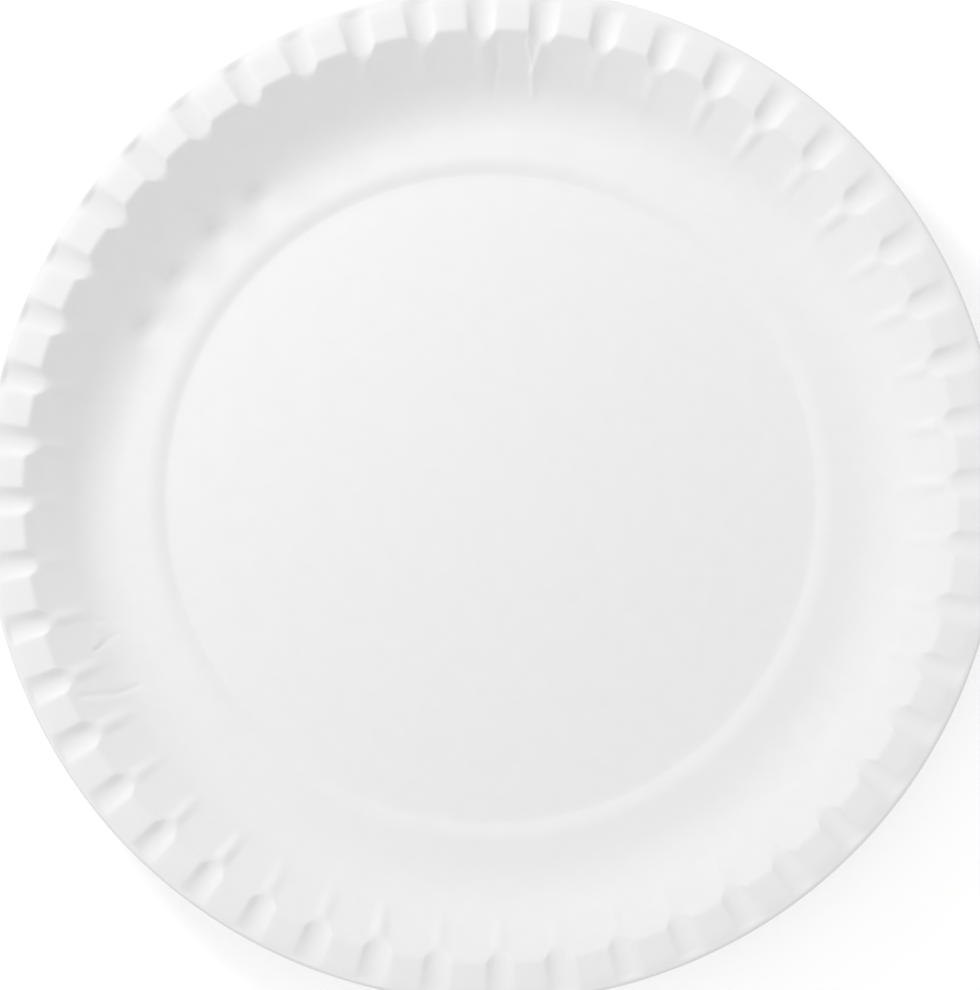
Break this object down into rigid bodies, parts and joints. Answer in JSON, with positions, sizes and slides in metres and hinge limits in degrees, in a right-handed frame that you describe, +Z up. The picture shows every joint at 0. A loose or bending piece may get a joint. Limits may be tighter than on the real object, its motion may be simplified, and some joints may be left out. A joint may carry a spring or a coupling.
{
  "type": "paper plate",
  "caption": "Round white paper plate with a recessed centre, a sloping wall and a flat lip pressed into even flutes, its outer edge turned down.",
  "frame": {"origin": "middle of the plate, on the surface that it rests on", "axes": "+Z up through the middle of the plate, towards the food side; +X through the middle of a flute"},
  "size_m": [0.23, 0.23, 0.02],
  "materials": {
    "board": "uncoated white pressed board, matt"
  },
  "bodies": {
    "root": {"paper_plate": "board"}
  },
  "joints": []
}
